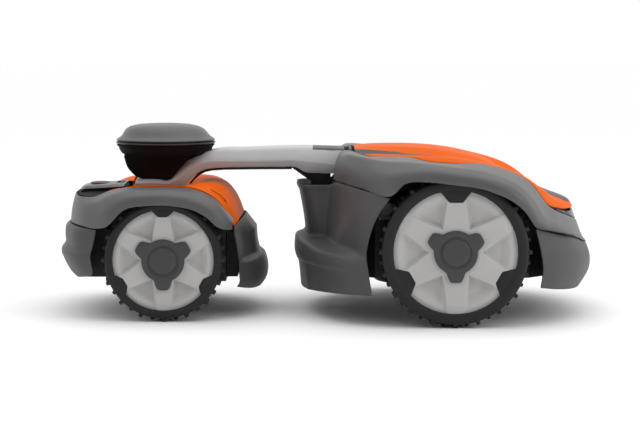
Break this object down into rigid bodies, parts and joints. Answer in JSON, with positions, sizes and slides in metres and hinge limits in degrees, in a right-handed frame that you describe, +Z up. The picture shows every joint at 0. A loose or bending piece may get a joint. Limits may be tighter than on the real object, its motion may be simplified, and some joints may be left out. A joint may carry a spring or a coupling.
{
  "type": "robotic lawn mower",
  "caption": "Articulated four-wheel-drive robotic lawn mower: wide front unit with a floating cover and cutting disc, bridge arm with domed receiver, small steering rear unit.",
  "frame": {"origin": "on the ground under the middle of the overall box", "axes": "+X forward towards the nose, +Y to the machine's left, +Z up"},
  "size_m": [0.9299, 0.55, 0.327],
  "materials": {
    "orange_plastic": "satin moulded plastic",
    "grey_plastic": "satin moulded plastic",
    "dark_grey_plastic": "satin moulded plastic",
    "silver_plastic": "silver satin",
    "rim_silver": "silver satin",
    "black_plastic": "fine texture",
    "gloss_black": "polished",
    "dome_plastic": "satin",
    "tyre_rubber": "matte rubber",
    "post_rubber": "matte rubber",
    "lens_clear": "clear",
    "steel": "machined",
    "blade_steel": "ground",
    "motor_can": "anodised",
    "board_green": "lacquered board",
    "contact_brass": "plated",
    "button_red": "satin",
    "battery_blue": "shrink sleeve",
    "gear_white": "acetal"
  },
  "bodies": {
    "front_unit": {"front_chassis_tub": "black_plastic", "front_chassis_lid": "black_plastic", "cover_posts": "post_rubber", "lid_screws": "steel", "front_wheel_motors": "motor_can", "control_board": "board_green", "cutter_guides": "steel", "charging_contacts": "contact_brass", "arm_mast": "black_plastic", "bridge_arm": "silver_plastic", "arm_liner": "black_plastic", "receiver_stand": "black_plastic", "receiver_tray": "black_plastic", "receiver_dome": "dome_plastic", "steering_motor": "motor_can"},
    "front_cover": {"front_fender_cover": "grey_plastic", "front_top_cover": "orange_plastic", "nose_panel": "gloss_black", "front_bumper": "dark_grey_plastic", "front_rear_skirt": "dark_grey_plastic", "hood_collar": "dark_grey_plastic", "headlight_lenses": "lens_clear", "cover_frame": "black_plastic"},
    "steering_pinion": {"steering_pinion": "gear_white"},
    "steering_yoke": {"steering_yoke": "steel", "steering_gear": "gear_white", "roll_pin": "steel", "gimbal_cap": "black_plastic"},
    "rear_unit": {"rear_chassis_tub": "black_plastic", "rear_chassis_lid": "black_plastic", "battery_pack": "battery_blue", "rear_wheel_motors": "motor_can", "rear_top_cover": "orange_plastic", "rear_fender_cover": "grey_plastic", "rear_deck": "dark_grey_plastic", "control_panel": "gloss_black", "rear_bumper": "dark_grey_plastic", "rear_front_skirt": "dark_grey_plastic"},
    "stop_button": {"stop_button": "button_red"},
    "jog_wheel": {"jog_wheel": "gloss_black"},
    "cutter_carriage": {"cutter_carriage": "black_plastic", "cutter_motor": "motor_can"},
    "height_spindle": {"height_spindle": "steel"},
    "cutting_disc": {"cutting_disc": "dark_grey_plastic"},
    "blade_1": {"blade_1": "blade_steel"},
    "blade_2": {"blade_2": "blade_steel"},
    "blade_3": {"blade_3": "blade_steel"},
    "skid_plate": {"skid_plate": "steel"},
    "front_left_wheel": {"front_left_tyre": "tyre_rubber", "front_left_rim": "rim_silver", "front_left_hub_cap": "dark_grey_plastic"},
    "front_right_wheel": {"front_right_tyre": "tyre_rubber", "front_right_rim": "rim_silver", "front_right_hub_cap": "dark_grey_plastic"},
    "rear_left_wheel": {"rear_left_tyre": "tyre_rubber", "rear_left_rim": "rim_silver", "rear_left_hub_cap": "dark_grey_plastic"},
    "rear_right_wheel": {"rear_right_tyre": "tyre_rubber", "rear_right_rim": "rim_silver", "rear_right_hub_cap": "dark_grey_plastic"}
  },
  "joints": [
    {"name": "cover_float", "type": "slide", "parent": "front_unit", "child": "front_cover", "axis": [1, 0, 0], "range_m": [-0.005, 0.005], "stiffness_N_per_m": 4000},
    {"name": "steering", "type": "hinge", "parent": "front_unit", "child": "steering_yoke", "pos_m": [-0.275, 0, 0.2], "axis": [0, 0, 1], "range_deg": [-40, 40]},
    {"name": "steering_pinion_spin", "type": "hinge", "parent": "front_unit", "child": "steering_pinion", "pos_m": [-0.305, 0, 0.223], "axis": [0, 0, 1], "range_deg": [-121, 121]},
    {"name": "rear_roll", "type": "hinge", "parent": "steering_yoke", "child": "rear_unit", "pos_m": [-0.275, 0, 0.18], "axis": [1, 0, 0], "range_deg": [-7, 7]},
    {"name": "front_left_wheel_spin", "type": "hinge", "parent": "front_unit", "child": "front_left_wheel", "pos_m": [0.213, 0.234, 0.1264], "axis": [0, 1, 0], "continuous": true},
    {"name": "front_right_wheel_spin", "type": "hinge", "parent": "front_unit", "child": "front_right_wheel", "pos_m": [0.213, -0.234, 0.1264], "axis": [0, 1, 0], "continuous": true},
    {"name": "rear_left_wheel_spin", "type": "hinge", "parent": "rear_unit", "child": "rear_left_wheel", "pos_m": [-0.275, 0.165, 0.1044], "axis": [0, 1, 0], "continuous": true},
    {"name": "rear_right_wheel_spin", "type": "hinge", "parent": "rear_unit", "child": "rear_right_wheel", "pos_m": [-0.275, -0.165, 0.1044], "axis": [0, 1, 0], "continuous": true},
    {"name": "cutting_height", "type": "slide", "parent": "front_unit", "child": "cutter_carriage", "axis": [0, 0, 1], "range_m": [-0.02, 0.02]},
    {"name": "height_spindle_spin", "type": "hinge", "parent": "front_unit", "child": "height_spindle", "pos_m": [0.138, 0, 0.12], "axis": [0, 0, 1], "range_deg": [-361, 361]},
    {"name": "disc_spin", "type": "hinge", "parent": "cutter_carriage", "child": "cutting_disc", "pos_m": [0.19, 0, 0.052], "axis": [0, 0, 1], "continuous": true},
    {"name": "blade_1_swing", "type": "hinge", "parent": "cutting_disc", "child": "blade_1", "pos_m": [0.282, 0, 0.0502], "axis": [0, 0, 1], "continuous": true},
    {"name": "blade_2_swing", "type": "hinge", "parent": "cutting_disc", "child": "blade_2", "pos_m": [0.144, 0.07967, 0.0502], "axis": [0, 0, 1], "continuous": true},
    {"name": "blade_3_swing", "type": "hinge", "parent": "cutting_disc", "child": "blade_3", "pos_m": [0.144, -0.07967, 0.0502], "axis": [0, 0, 1], "continuous": true},
    {"name": "skid_plate_spin", "type": "hinge", "parent": "cutting_disc", "child": "skid_plate", "pos_m": [0.19, 0, 0.044], "axis": [0, 0, 1], "continuous": true},
    {"name": "stop_button_press", "type": "slide", "parent": "rear_unit", "child": "stop_button", "axis": [0, 0, 1], "range_m": [-0.003, 0], "stiffness_N_per_m": 900},
    {"name": "jog_wheel_spin", "type": "hinge", "parent": "rear_unit", "child": "jog_wheel", "pos_m": [-0.3622, 0, 0.218], "axis": [0, 1, 0], "continuous": true}
  ],
  "couplings": [
    {"joint": "steering_pinion_spin", "follows": "steering", "ratio": -3},
    {"joint": "height_spindle_spin", "follows": "cutting_height", "rad_per_m": 314.16}
  ]
}
